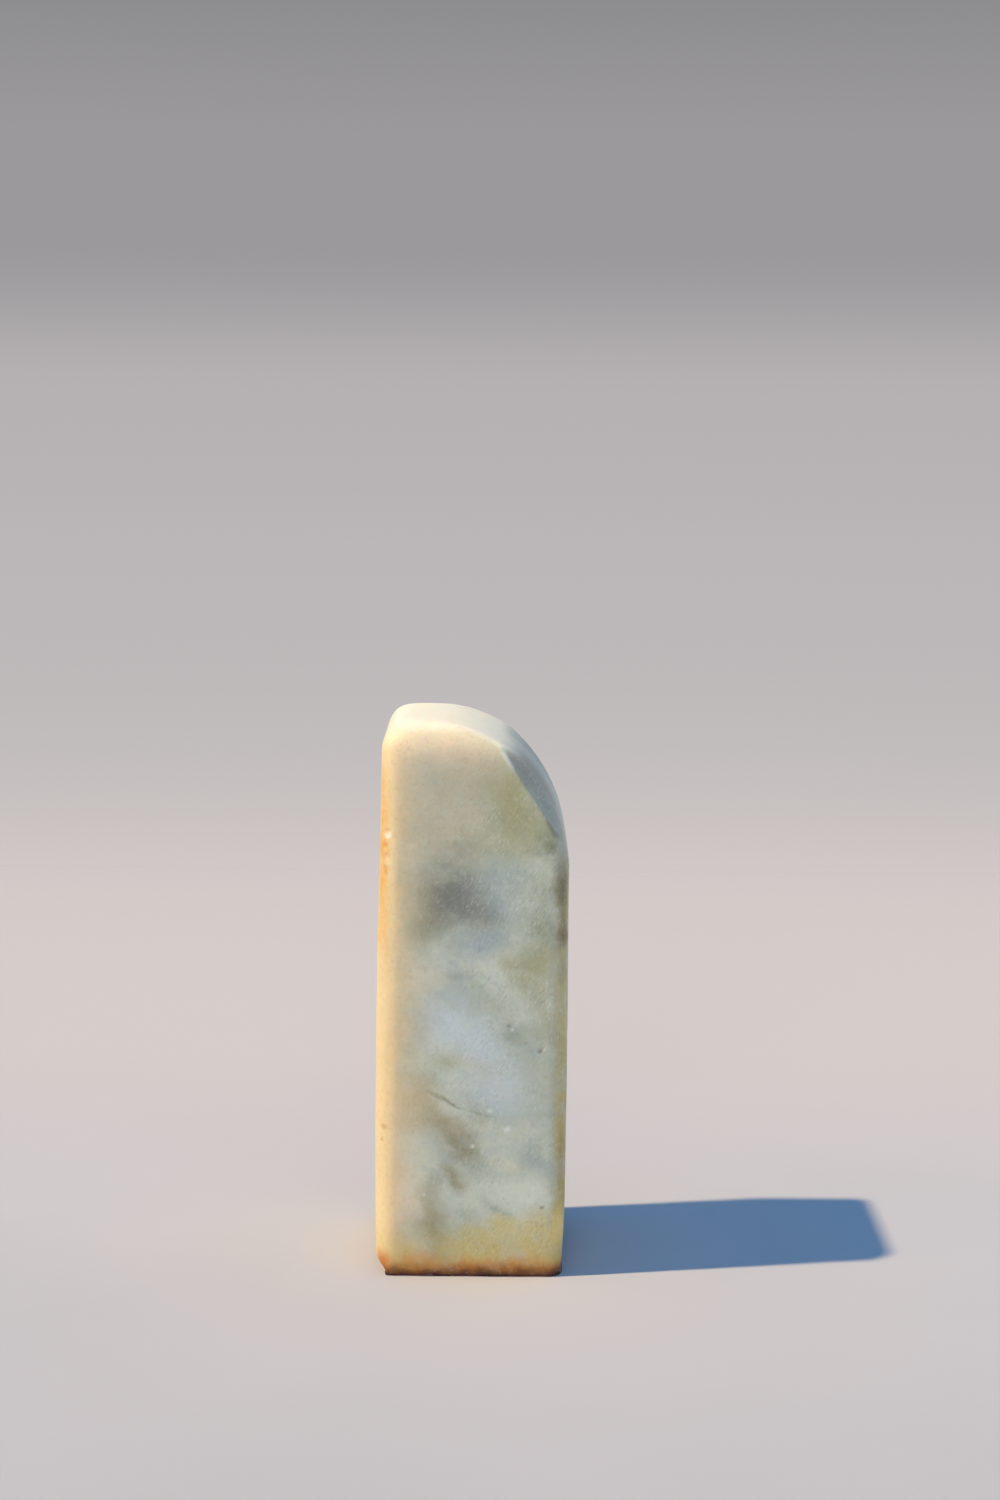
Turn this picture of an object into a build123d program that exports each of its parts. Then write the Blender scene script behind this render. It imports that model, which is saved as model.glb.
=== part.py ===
from build123d import *
import math
import os

# A carved stone seal, in millimetres. +Z is up, and the seal stands on its carved face at Z = 0.
# Its broad cloudy side faces -Y, and the shoulder that was ground away is on the +X side.

# The stone column. Its left side leans in by this much from the foot to the top.
STONE_WIDTH = 20.0
STONE_DEPTH = 20.0
STONE_HEIGHT = 58.0
LEFT_SIDE_LEAN = 0.65
UPRIGHT_EDGE_RADIUS = 2.0
TOP_EDGE_RADIUS = 3.0
FOOT_EDGE_RADIUS = 0.5

# The shoulder falls as a quarter ellipse, which leaves the right side at a slight angle.
SHOULDER_REACH = 14.1
SHOULDER_FALL = 16.5
SHOULDER_OVERSHOOT = 0.1

# A flat bevel is rubbed along the front edge of the shoulder, and a narrower one along the back.
# Their middle lies at this share of the quarter ellipse, counted from the right side.
FRONT_BEVEL_INSET = 1.5
BACK_BEVEL_INSET = 0.8
BEVEL_ANGLE = 45.0
BEVEL_MIDDLE_SHARE = 0.41

# The foot is worn away along its left edge.
WEAR_WIDTH = 1.2
WEAR_HEIGHT = 1.9

# The seal face has a raised border and a raised double spiral, and the ground is cut away.
GROUND_DEPTH = 0.8
BORDER_WIDTH = 1.2
LINE_WIDTH = 0.95

# One arm of the spiral, from the centre outwards, as shares of the step from line to line.
# The other arm is the same one turned half round.
ARM_SHARES = ((0, 0), (0, 0.5), (1, 0.5), (1, -1.5), (-2, -1.5), (-2, 2.5), (3, 2.5), (3, -3.5), (-3, -3.5))
OUTER_X_SHARE = max(x for x, y in ARM_SHARES)
OUTER_Y_SHARE = max(-y for x, y in ARM_SHARES)

# Seal paste has dried on the floor of the cut ground and in patches on the foot's rounded edge.
# The highest patch takes this share of the rounding's height, so the flat sides stay clean.
GROUND_PASTE_THICKNESS = 0.15
FOOT_PASTE_THICKNESS = 0.1
FOOT_PASTE_HEIGHT_SHARE = 0.95

# Each patch: where it begins and ends along its side, and its height, all as shares.
FRONT_PATCH_SHARES = ((0.05, 0.11, 0.8), (0.32, 0.42, 0.6), (0.55, 0.68, 0.9), (0.91, 0.98, 1.0))
RIGHT_PATCH_SHARES = ((0.1, 0.25, 0.7), (0.5, 0.76, 0.5))
BACK_PATCH_SHARES = ((0.2, 0.34, 0.6), (0.6, 0.68, 0.8))
LEFT_PATCH_SHARES = ((0.36, 0.52, 0.6), (0.82, 0.9, 0.8))

# Cutting shapes run past the stone by this much.
OVERRUN = 2.0


def stone_column():
    """The column with its upright edges, its top and its foot rounded."""
    half_width = STONE_WIDTH / 2
    outline = Polyline(
        (-half_width, 0),
        (half_width, 0),
        (half_width, STONE_HEIGHT),
        (LEFT_SIDE_LEAN - half_width, STONE_HEIGHT),
        close=True,
    )
    column = extrude(Plane.XZ * make_face(outline), STONE_DEPTH / 2, both=True)
    upright = column.edges().filter_by_position(Axis.Z, 0, STONE_HEIGHT, inclusive=(False, False))
    column = fillet(upright, UPRIGHT_EDGE_RADIUS)
    column = fillet(column.faces().sort_by(Axis.Z)[-1].edges(), TOP_EDGE_RADIUS)
    return fillet(column.faces().sort_by(Axis.Z)[0].edges(), FOOT_EDGE_RADIUS)


def shoulder_centre():
    """The centre of the shoulder's ellipse, as X and Z."""
    return STONE_WIDTH / 2 + SHOULDER_OVERSHOOT - SHOULDER_REACH, STONE_HEIGHT - SHOULDER_FALL


def shoulder_waste():
    """The stone that is ground away above the shoulder's ellipse."""
    centre_x, centre_z = shoulder_centre()
    side_x = centre_x + SHOULDER_REACH
    curve = EllipticalCenterArc((centre_x, centre_z), SHOULDER_REACH, SHOULDER_FALL)
    outside = Polyline(
        curve @ 1,
        (centre_x, STONE_HEIGHT + OVERRUN),
        (side_x + OVERRUN, STONE_HEIGHT + OVERRUN),
        (side_x + OVERRUN, centre_z),
        curve @ 0,
    )
    return extrude(Plane.XZ * make_face(curve + outside), STONE_DEPTH / 2 + OVERRUN, both=True)


def bevel_waste(inset):
    """The wedge that is rubbed off the front edge of the shoulder, this far in from the ellipse."""
    centre_x, centre_z = shoulder_centre()
    turn = math.radians(90 * BEVEL_MIDDLE_SHARE)
    across = SHOULDER_REACH * math.cos(turn)
    up = SHOULDER_FALL * math.sin(turn)
    on_edge = Vector(centre_x + across, -STONE_DEPTH / 2, centre_z + up)
    outward = Vector(across / SHOULDER_REACH**2, 0, up / SHOULDER_FALL**2).normalized()
    frontward = Vector(0, -1, 0)
    tilt = math.radians(BEVEL_ANGLE)
    facing = outward * math.cos(tilt) + frontward * math.sin(tilt)
    surface = Plane(on_edge - outward * inset, x_dir=outward.cross(frontward), z_dir=facing)
    half_space = Box(STONE_HEIGHT, STONE_HEIGHT, STONE_DEPTH, align=(Align.CENTER, Align.CENTER, Align.MIN))
    return surface * half_space


def foot_wear_waste(grown=0):
    """The corner that is worn off the left edge of the foot, moved outwards by the growth."""
    corner_x = -STONE_WIDTH / 2 - grown
    wedge = Polyline(
        (corner_x - WEAR_WIDTH, 2 * WEAR_HEIGHT - grown),
        (corner_x + 2 * WEAR_WIDTH, -WEAR_HEIGHT - grown),
        (corner_x - WEAR_WIDTH, -WEAR_HEIGHT - grown),
        close=True,
    )
    return extrude(Plane.XZ * make_face(wedge), STONE_DEPTH / 2 + OVERRUN, both=True)


def ground_sides():
    """The sides along X and Y of the ground inside the border."""
    rim = FOOT_EDGE_RADIUS + BORDER_WIDTH
    return STONE_WIDTH - 2 * rim, STONE_DEPTH - 2 * rim


def spiral_lines():
    """The raised lines of the double spiral, flat, with even gaps between them."""
    side_x, side_y = ground_sides()
    step_x = (side_x + LINE_WIDTH) / 2 / (OUTER_X_SHARE + 1)
    step_y = (side_y + LINE_WIDTH) / 2 / (OUTER_Y_SHARE + 1)
    lines = Sketch()
    for turn in (1, -1):
        points = [(turn * x * step_x, turn * y * step_y) for x, y in ARM_SHARES]
        for (start_x, start_y), (end_x, end_y) in zip(points, points[1:]):
            middle = Pos((start_x + end_x) / 2, (start_y + end_y) / 2)
            lines += middle * Rectangle(abs(end_x - start_x) + LINE_WIDTH, abs(end_y - start_y) + LINE_WIDTH)
    return lines


def cut_ground():
    """The ground between the raised lines, flat, as it is cut away."""
    side_x, side_y = ground_sides()
    return Rectangle(side_x, side_y) - spiral_lines()


def blank_stone():
    """The stone before its face is carved: the column with its shoulder, bevels and worn foot."""
    front_bevel = bevel_waste(FRONT_BEVEL_INSET)
    back_bevel = mirror(bevel_waste(BACK_BEVEL_INSET), about=Plane.XZ)
    return stone_column() - shoulder_waste() - front_bevel - back_bevel - foot_wear_waste()


def paste_in_cuts(ground):
    """The skin of dried paste on the floor of the cut ground."""
    return Pos(0, 0, GROUND_DEPTH - GROUND_PASTE_THICKNESS) * extrude(ground, GROUND_PASTE_THICKNESS)


def foot_skin(blank):
    """A thin skin round the foot's edge, down to the surface that the seal stands on."""
    grown = FOOT_PASTE_THICKNESS
    outer = Pos(0, 0, -grown) * extrude(
        RectangleRounded(STONE_WIDTH + 2 * grown, STONE_DEPTH + 2 * grown, UPRIGHT_EDGE_RADIUS + grown),
        FOOT_EDGE_RADIUS + OVERRUN,
    )
    outer = fillet(outer.faces().sort_by(Axis.Z)[0].edges(), FOOT_EDGE_RADIUS + grown)
    return outer - foot_wear_waste(grown) - blank


def patch_box(side_length, side_distance, patch):
    """The space that one patch of paste may fill, on the front side."""
    start, end, height = patch
    return Pos(side_length * (start + end - 1) / 2, -side_distance, 0) * Box(
        side_length * (end - start),
        side_distance,
        height * FOOT_PASTE_HEIGHT_SHARE * FOOT_EDGE_RADIUS,
        align=(Align.CENTER, Align.CENTER, Align.MIN),
    )


def paste_on_foot(blank):
    """All the patches of dried paste round the foot's edge."""
    skin = foot_skin(blank)
    sides = (
        (STONE_WIDTH, STONE_DEPTH / 2, FRONT_PATCH_SHARES),
        (STONE_DEPTH, STONE_WIDTH / 2, RIGHT_PATCH_SHARES),
        (STONE_WIDTH, STONE_DEPTH / 2, BACK_PATCH_SHARES),
        (STONE_DEPTH, STONE_WIDTH / 2, LEFT_PATCH_SHARES),
    )
    patches = []
    for quarter, (side_length, side_distance, shares) in enumerate(sides):
        for patch in shares:
            space = Rot(0, 0, 90 * quarter) * patch_box(side_length, side_distance, patch)
            patches += (skin & space).solids()
    return Compound(patches)


def main():
    ground = cut_ground()
    blank = blank_stone()
    os.makedirs("parts", exist_ok=True)
    export_step(blank - extrude(ground, GROUND_DEPTH), "parts/seal_stone.step")
    export_step(paste_in_cuts(ground), "parts/seal_paste_in_cuts.step")
    export_step(paste_on_foot(blank), "parts/seal_paste_on_foot.step")


main()
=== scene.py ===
import math
import random

import bmesh
import bpy
import numpy as np
from mathutils import Matrix, Vector, noise
from mathutils.bvhtree import BVHTree

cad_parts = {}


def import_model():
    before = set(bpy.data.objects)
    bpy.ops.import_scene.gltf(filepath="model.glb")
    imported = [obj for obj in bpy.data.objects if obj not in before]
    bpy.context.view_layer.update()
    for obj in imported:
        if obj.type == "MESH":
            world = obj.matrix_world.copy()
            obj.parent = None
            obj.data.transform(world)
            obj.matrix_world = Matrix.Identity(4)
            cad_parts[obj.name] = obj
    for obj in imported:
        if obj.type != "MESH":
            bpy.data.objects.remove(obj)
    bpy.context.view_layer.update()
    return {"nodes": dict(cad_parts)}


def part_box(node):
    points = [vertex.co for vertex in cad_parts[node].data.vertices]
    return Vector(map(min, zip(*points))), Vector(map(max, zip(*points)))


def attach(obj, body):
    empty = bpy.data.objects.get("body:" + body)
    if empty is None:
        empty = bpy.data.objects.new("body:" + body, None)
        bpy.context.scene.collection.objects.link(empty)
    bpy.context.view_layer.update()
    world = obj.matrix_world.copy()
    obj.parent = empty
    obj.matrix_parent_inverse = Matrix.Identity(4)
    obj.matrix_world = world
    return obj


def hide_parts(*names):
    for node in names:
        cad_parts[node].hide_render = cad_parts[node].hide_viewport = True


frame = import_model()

# A carved stone seal on a pale floor. Lengths in this file are in millimetres, apart from CAD_BOX,
# and are turned into metres where they meet a mesh, a lamp or the camera.
# +Z is up, the broad cloudy side faces -Y, and the sloping shoulder is on the +X side.

MM = 0.001
STONE_LOW, STONE_HIGH = (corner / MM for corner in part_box("seal_stone"))
STONE_HEIGHT = STONE_HIGH.z
HALF_WIDTH = STONE_HIGH.x
HALF_DEPTH = STONE_HIGH.y


# Meshes

# Points of a mesh that lie closer than this are joined.
WELD_DISTANCE = 0.001

# A seed shifts the noise by so many of these steps, and the gain brings it to about -1 to 1.
SEED_STEPS = (13.7, 7.1, 3.3)
NOISE_GAIN = 1.4


def new_object(name, data):
    """An object in the scene that shows this mesh, lamp or camera."""
    made = bpy.data.objects.new(name, data)
    bpy.context.scene.collection.objects.link(made)
    return made


def welded_copy(node, name):
    """A copy of a CAD node's mesh with its split edges joined again."""
    mesh = frame["nodes"][node].data.copy()
    mesh.materials.clear()
    joined = bmesh.new()
    joined.from_mesh(mesh)
    bmesh.ops.remove_doubles(joined, verts=joined.verts, dist=WELD_DISTANCE * MM)
    joined.to_mesh(mesh)
    joined.free()
    return new_object(name, mesh)


def settle(thing):
    """Puts the result of the object's modifiers in place of its own mesh."""
    bpy.context.view_layer.update()
    settled = thing.evaluated_get(bpy.context.evaluated_depsgraph_get())
    thing.data = bpy.data.meshes.new_from_object(settled)
    thing.modifiers.clear()
    return thing.data


def remeshed(thing, cell):
    """The object with its mesh rebuilt from even cells of this size and laid on the old surface again."""
    surface = BVHTree.FromObject(thing, bpy.context.evaluated_depsgraph_get())
    remesh = thing.modifiers.new("cells", "REMESH")
    remesh.mode = "VOXEL"
    remesh.voxel_size = cell * MM
    mesh = settle(thing)
    points = points_of(mesh)
    for index, point in enumerate(points):
        points[index] = surface.find_nearest(Vector(point) * MM)[0] / MM
    put_points(mesh, points)
    mesh.shade_smooth()
    return thing


def points_of(mesh):
    """The mesh's points, in millimetres, one to a row."""
    flat = np.empty(3 * len(mesh.vertices), np.float32)
    mesh.vertices.foreach_get("co", flat)
    return flat.reshape(-1, 3).astype(float) / MM


def normals_of(mesh):
    """The way that the mesh faces at each of its points."""
    flat = np.empty(3 * len(mesh.vertices), np.float32)
    mesh.vertex_normals.foreach_get("vector", flat)
    return flat.reshape(-1, 3).astype(float)


def put_points(mesh, points):
    """Moves the mesh's points to these places."""
    mesh.vertices.foreach_set("co", (points * MM).astype(np.float32).ravel())
    mesh.update()


def noise_at(points, size, seed):
    """Smooth noise of about -1 to 1, with bumps of this size."""
    shift = Vector([seed * step for step in SEED_STEPS])
    return np.array([noise.noise(Vector(point) / size + shift) for point in points]) * NOISE_GAIN


def ease(value, start, end):
    """A smooth step from 0 at the start to 1 at the end, which may lie either way."""
    share = np.clip((value - start) / (end - start), 0, 1)
    return share * share * (3 - 2 * share)


# The stone's shape

# The size of the cells that the stone's mesh is rebuilt from.
STONE_CELL = 0.25

# How far each hand-ground side stands out past a straight one, by height.
LEFT_PROFILE = ((0, -0.2), (2.5, -0.14), (5, -0.06), (8, 0.0), (18, 0.1), (29, 0.12), (35, 0.08), (41, 0.0),
                (50, -0.06), (54, -0.12), (58, -0.14))
RIGHT_PROFILE = ((0, -0.28), (2.3, -0.24), (5, -0.12), (8, -0.07), (13, -0.03), (20, 0.0), (58, 0.0))

# The kinds of noise that shape the stone: the size of the bumps and the seed.
BROAD_NOISE = (11, 1)
MIDDLING_NOISE = (4.5, 2)
FINE_NOISE = (1.3, 3)
KNIFE_NOISE = (0.9, 4)
WALL_NOISE = (0.55, 5)
CHIP_NOISE = (0.6, 6)

# The top's front and back edges are softened by this share, this many times.
TOP_SOFTENING = 0.5
TOP_ROUNDS = 40

# The mean wear from broad, middling and fine noise all over, and from the last two along the edges
# and near the foot.
WORN_ALL_OVER = (0.035, 0.012, 0.004)
WORN_EDGES = (0.05, 0.02)
WORN_FOOT = (0.04, 0.03)

# The foot's left edge is worn round: how high the rounding reaches, and where it starts and ends along X.
ROUNDED_HEIGHT = 0.6
ROUNDED_START, ROUNDED_END = -8.4, -9.4

# The carved face reaches this far from the middle, and everything in it lies under this height.
FACE_REACH = 8.45
FACE_TOP = 1.0

# What lies lower than this, with its normal's Z under this, is the surface that the seal stands on.
STANDING_TOP = 0.02
STANDING_NORMAL = -0.6

# What is level in the face, by its normal's Z, and lies higher than this is the cut ground.
LEVEL_NORMAL = 0.7
GROUND_LOWEST = 0.4

# How rough the cut ground is, and how deep the sides of the raised lines are cut and ragged.
GROUND_ROUGHNESS = 0.05
WALL_CUT = 0.03
WALL_RAGGEDNESS = 0.05

# Each hollow is scooped unevenly by this share of its radius, from the points within this many radii.
SCOOP_UNEVENNESS = 0.15
SCOOP_SEARCH = 1.3

# Chips on the edges: a point near the stone's surface, the radius of the hollow and its depth.
CHIPS = (
    ((-8.75, -9.55, 46.6), 0.75, 0.2),
    ((-8.95, -9.35, 45.3), 0.8, 0.14),
    ((-8.85, -9.5, 44.0), 0.7, 0.22),
    ((-8.95, -9.4, 42.8), 0.55, 0.16),
    ((-9.1, -9.5, 15.9), 0.5, 0.15),
    ((-9.25, -9.4, 15.0), 0.45, 0.14),
    ((-9.3, -9.4, 10.6), 1.3, 0.08),
    ((9.4, -9.42, 35.9), 1.6, 0.12),
    ((9.45, -9.35, 32.6), 1.2, 0.08),
    ((9.3, 9.5, 22.0), 2.6, 0.12),
    ((9.5, 9.2, 20.6), 1.6, 0.08),
    ((-9.1, 9.5, 38.5), 2.8, 0.1),
    ((-9.3, 9.4, 8.0), 3.0, 0.11),
    ((-9.4, 9.2, 6.3), 1.8, 0.08),
    ((7.0, -9.9, 0.15), 0.9, 0.12),
    ((-3.0, 9.9, 0.15), 1.4, 0.18),
    ((9.85, 4.0, 0.15), 1.1, 0.14),
    ((-5.2, -9.9, 0.2), 1.2, 0.1),
)

# Small pits that the photo shows on the front, in the same terms.
PITS = (
    ((7.2, -10, 24.0), 0.3, 0.16),
    ((7.45, -10, 24.35), 0.26, 0.14),
    ((7.5, -10, 7.5), 0.24, 0.13),
    ((4.0, -10, 26.7), 0.24, 0.1),
    ((-2.3, -10, 1.9), 0.3, 0.08),
    ((4.7, -10, 1.7), 0.3, 0.08),
)

# The random pits: the seed of their draws, how many, the lowest place, and the range of their radii and
# of their depths as shares of the radius.
PIT_SEED = 41
PIT_COUNT = 110
PIT_LOWEST = 1.5
PIT_RADII = (0.22, 0.4)
PIT_DEPTH_SHARES = (0.1, 0.3)


def soften(mesh, points, share, rounds):
    """Moves each point toward the middle of its neighbours, by its share, this many times."""
    pairs = np.empty(2 * len(mesh.edges), np.int32)
    mesh.edges.foreach_get("vertices", pairs)
    first, second = pairs.reshape(-1, 2).T
    count = np.bincount(pairs, minlength=len(points))[:, None]
    for _ in range(rounds):
        total = np.zeros_like(points)
        np.add.at(total, first, points[second])
        np.add.at(total, second, points[first])
        points += share[:, None] * (total / count - points)


def round_top_edges(mesh, points):
    """Rounds the top's front and back edges over, where the shoulder begins."""
    x, y, z = points.T
    near_edge = ease(abs(y), 5.5, 7.5) * ease(z, 52.5, 54.5) * ease(x, 4.0, 1.5) * ease(x, -9.0, -7.0)
    soften(mesh, points, TOP_SOFTENING * near_edge, TOP_ROUNDS)
    put_points(mesh, points)


def bow_sides(points, normals, body):
    """Gives the left and right sides their hand-ground profiles."""
    x, z = points[:, 0], points[:, 2]
    left = ease(-normals[:, 0], 0.2, 0.9) * body
    right = ease(normals[:, 0], 0.2, 0.9) * body * ease(z, 43, 38)
    x -= left * np.interp(z, *zip(*LEFT_PROFILE))
    x += right * np.interp(z, *zip(*RIGHT_PROFILE))


def worn_by(depths, noises):
    """The wear from several kinds of noise, each from nothing to twice its mean depth."""
    return sum(depth * (1 + bumps) for depth, bumps in zip(depths, noises))


def wear(points, normals, body):
    """Wears the surface a little all over, and more along the edges and near the foot."""
    x, z = points[:, 0], points[:, 2]
    broad = noise_at(points, *BROAD_NOISE)
    middling = noise_at(points, *MIDDLING_NOISE)
    fine = noise_at(points, *FINE_NOISE)
    edge = 2 * abs(normals[:, 1]) * np.hypot(normals[:, 0], normals[:, 2])
    sunk = worn_by(WORN_ALL_OVER, (broad, middling, fine))
    sunk += edge * worn_by(WORN_EDGES, (middling, fine))
    sunk += ease(z, 1.6, 0.3) * worn_by(WORN_FOOT, (middling, fine))
    sunk *= body * ease(z, 0.0, 0.5)
    points -= normals * sunk[:, None]
    z[:] = np.maximum(z, ROUNDED_HEIGHT * ease(x, ROUNDED_START, ROUNDED_END))


def roughen_face(points, normals, in_face):
    """Roughens the cut ground as a knife leaves it, and makes the sides of the raised lines ragged."""
    rough = noise_at(points, *KNIFE_NOISE)
    ragged = noise_at(points, *WALL_NOISE)
    level = abs(normals[:, 2]) > LEVEL_NORMAL
    ground = in_face & level & (points[:, 2] > GROUND_LOWEST)
    walls = in_face & ~level
    points[:, 2] += ground * GROUND_ROUGHNESS * rough
    points[walls] -= (normals * (WALL_CUT + WALL_RAGGEDNESS * ragged)[:, None])[walls]


def random_pits(points, body):
    """Small natural pits all over the stone."""
    draw = random.Random(PIT_SEED)
    free = np.flatnonzero(body & (points[:, 2] > PIT_LOWEST))
    pits = []
    for _ in range(PIT_COUNT):
        spot = tuple(points[free[draw.randrange(len(free))]])
        radius = draw.uniform(*PIT_RADII)
        pits.append((spot, radius, radius * draw.uniform(*PIT_DEPTH_SHARES)))
    return tuple(pits)


def scoop(points, normals, spot, radius, depth):
    """Moves the points inside a ball, set this deep in the surface at the spot, out onto the ball."""
    index = int(np.argmin(np.linalg.norm(points - np.array(spot), axis=1)))
    centre = points[index] + normals[index] * (radius - depth)
    near = np.flatnonzero(np.linalg.norm(points - centre, axis=1) < SCOOP_SEARCH * radius)
    away = points[near] - centre
    distance = np.linalg.norm(away, axis=1)
    reach = radius * (1 + SCOOP_UNEVENNESS * noise_at(points[near], *CHIP_NOISE))
    inside = distance < reach
    points[near[inside]] = centre + away[inside] / distance[inside, None] * reach[inside, None]


def shape_stone(stone):
    """Gives the plain stone its hand-ground sides, its wear, its rough face, its chips and its pits."""
    mesh = stone.data
    points = points_of(mesh)
    round_top_edges(mesh, points)
    normals = normals_of(mesh)
    x, y, z = points.T
    in_face = (z < FACE_TOP) & (abs(x) < FACE_REACH) & (abs(y) < FACE_REACH)
    standing = (z < STANDING_TOP) & (normals[:, 2] < STANDING_NORMAL)
    body = ~in_face & ~standing

    bow_sides(points, normals, body)
    wear(points, normals, body)
    roughen_face(points, normals, in_face)
    for spot, radius, depth in CHIPS + PITS + random_pits(points, body):
        scoop(points, normals, spot, radius, depth)
    z[:] = np.clip(z, 0.0, STONE_HEIGHT)
    x[:] = np.clip(x, STONE_LOW.x, HALF_WIDTH)
    y[:] = np.clip(y, -HALF_DEPTH, HALF_DEPTH)
    put_points(mesh, points)


# The paste's shape

# The crust on the foot starts from the stone's surface between these heights, left of the first place
# along X, or further out than the second on the other three sides.
CRUST_BOTTOM, CRUST_TOP = 0.01, 0.9
CRUST_LEFT = -8.5
CRUST_OUT = 8.7

# How thick the crust is behind its surface, how far it may sink in or stand out there, how steeply it
# rises from its edge, and the share by which its thickness is uneven.
CRUST_BACKING = 0.06
CRUST_SUNK, CRUST_RAISED = -0.03, 0.055
CRUST_SLOPE = 0.5
CRUST_UNEVENNESS = 0.35

# The crust is as high as the list below says over this share of its reach. Its top edge is broken by
# these heights, it starts a margin lower, and where it is lower than the least height there is none.
CRUST_CORE_SHARE = 0.2
CRUST_BREAKS = (0.09, 0.05)
CRUST_MARGIN = 0.02
LEAST_CRUST = 0.03
NO_CRUST = -1.0

# The kinds of noise that shape the paste: the size of the bumps and the seed.
BREAK_NOISES = ((0.7, 11), (0.25, 12))
THICKNESS_NOISE = (0.2, 13)
LUMP_NOISE = (0.8, 21)
CRUMB_NOISE = (0.3, 22)

# Where the dark crust stands highest on the foot's edge: the middle, how far it reaches and its height.
CRUSTS = (
    ((8.9, -9.3), 1.6, 0.34),
    ((2.3, -9.8), 2.2, 0.30),
    ((-2.6, -9.8), 1.8, 0.22),
    ((-8.4, -9.2), 1.2, 0.32),
    ((9.8, -6.5), 2.2, 0.24),
    ((9.8, 2.6), 3.0, 0.2),
    ((9.6, 8.6), 1.2, 0.3),
    ((5.0, 9.8), 2.2, 0.22),
    ((-2.8, 9.8), 1.6, 0.26),
    ((-8.9, 8.4), 2.0, 0.36),
    ((-8.8, 1.0), 2.4, 0.34),
    ((-8.8, -5.8), 1.6, 0.36),
)

# The paste in the cuts: the size of its mesh's cells, and how far its lumps and crumbs stand out.
CUTS_CELL = 0.15
LUMP_HEIGHT = 0.22
CRUMB_HEIGHT = 0.08

# Each paste's finish: its colour, the colour of its hollows, that of its worn fibres, and its roughness.
DRIED_FINISH = ((70, 34, 20), (38, 18, 13), (122, 66, 34), 0.72)
CINNABAR_FINISH = ((112, 30, 22), (58, 18, 14), (150, 62, 40), 0.6)


def foot_edge_surface(stone):
    """The stone's surface round the edge of the foot, as a mesh with finer faces."""
    shell = bmesh.new()
    shell.from_mesh(stone.data)

    def away_from_edge(face):
        x, y, z = face.calc_center_median() / MM
        under_the_foot = CRUST_LEFT < x < CRUST_OUT and abs(y) < CRUST_OUT
        return under_the_foot or z > CRUST_TOP or z < CRUST_BOTTOM

    bmesh.ops.delete(shell, geom=[face for face in shell.faces if away_from_edge(face)], context="FACES")
    bmesh.ops.subdivide_edges(shell, edges=shell.edges[:], cuts=2, use_grid_fill=True)
    mesh = bpy.data.meshes.new("dried_paste_on_foot")
    shell.to_mesh(mesh)
    shell.free()
    return mesh


def grow_crust(mesh):
    """Raises the surface where paste covers it, and gives how far the paste reaches past each point."""
    points, normals = points_of(mesh), normals_of(mesh)
    x, y, z = points.T
    height = np.zeros(len(points))
    for (middle_x, middle_y), reach, top in CRUSTS:
        away = np.hypot(x - middle_x, y - middle_y)
        height = np.maximum(height, top * ease(away, reach, CRUST_CORE_SHARE * reach))
    broken = sum(depth * noise_at(points, *kind) for depth, kind in zip(CRUST_BREAKS, BREAK_NOISES))
    cover = np.where(height > LEAST_CRUST, height + broken - z - CRUST_MARGIN, NO_CRUST)
    thick = np.clip(cover * CRUST_SLOPE, CRUST_SUNK, CRUST_RAISED)
    thick = thick * (1 + CRUST_UNEVENNESS * noise_at(points, *THICKNESS_NOISE))
    points += normals * thick[:, None]
    keep_above_floor(mesh, points)
    return cover


def drop_bare_faces(mesh, cover):
    """Deletes the faces that the paste doesn't reach."""
    kept = bmesh.new()
    kept.from_mesh(mesh)
    kept.verts.ensure_lookup_table()
    bare = [face for face in kept.faces if all(cover[corner.index] < -CRUST_MARGIN for corner in face.verts)]
    bmesh.ops.delete(kept, geom=bare, context="FACES")
    kept.to_mesh(mesh)
    kept.free()


def keep_above_floor(mesh, points):
    """Moves the mesh's points to these places, and none lower than the foot."""
    points[:, 2] = np.maximum(points[:, 2], 0.0)
    put_points(mesh, points)


def make_foot_paste(stone):
    """A thin crust of dried paste on the rounded edge of the foot, uneven in height and thickness."""
    mesh = foot_edge_surface(stone)
    drop_bare_faces(mesh, grow_crust(mesh))
    crust = new_object("dried_paste_on_foot", mesh)
    solid = crust.modifiers.new("thickness", "SOLIDIFY")
    solid.thickness = CRUST_BACKING * MM
    solid.offset = -1
    mesh = settle(crust)
    keep_above_floor(mesh, points_of(mesh))
    mesh.shade_smooth()
    mesh.materials.append(paste_material("dried_paste", *DRIED_FINISH))
    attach(crust, "root")
    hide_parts("seal_paste_on_foot")


def make_ground_paste():
    """The paste on the floor of the cut ground, caked in lumps."""
    paste = remeshed(welded_copy("seal_paste_in_cuts", "paste_in_cuts"), CUTS_CELL)
    points, normals = points_of(paste.data), normals_of(paste.data)
    lumps = 0.5 + 0.5 * noise_at(points, *LUMP_NOISE)
    crumbs = 0.5 + 0.5 * noise_at(points, *CRUMB_NOISE)
    down = ease(-normals[:, 2], 0.2, 0.8)
    points[:, 2] -= down * (LUMP_HEIGHT * lumps * lumps + CRUMB_HEIGHT * crumbs)
    put_points(paste.data, points)
    paste.data.materials.append(paste_material("cinnabar_paste", *CINNABAR_FINISH))
    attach(paste, "root")
    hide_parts("seal_paste_in_cuts")


# Nodes

# A colour mix node takes its two colours at these inputs, and gives its result at this output.
MIX_COLOURS = (6, 7)
MIX_RESULT = 2


def linear(colour):
    """A colour as the eye reads it, 0 to 255, turned into the light that it gives back."""
    light = []
    for part in colour:
        share = part / 255
        light.append(share / 12.92 if share <= 0.04045 else ((share + 0.055) / 1.055) ** 2.4)
    return (*light, 1.0)


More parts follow.
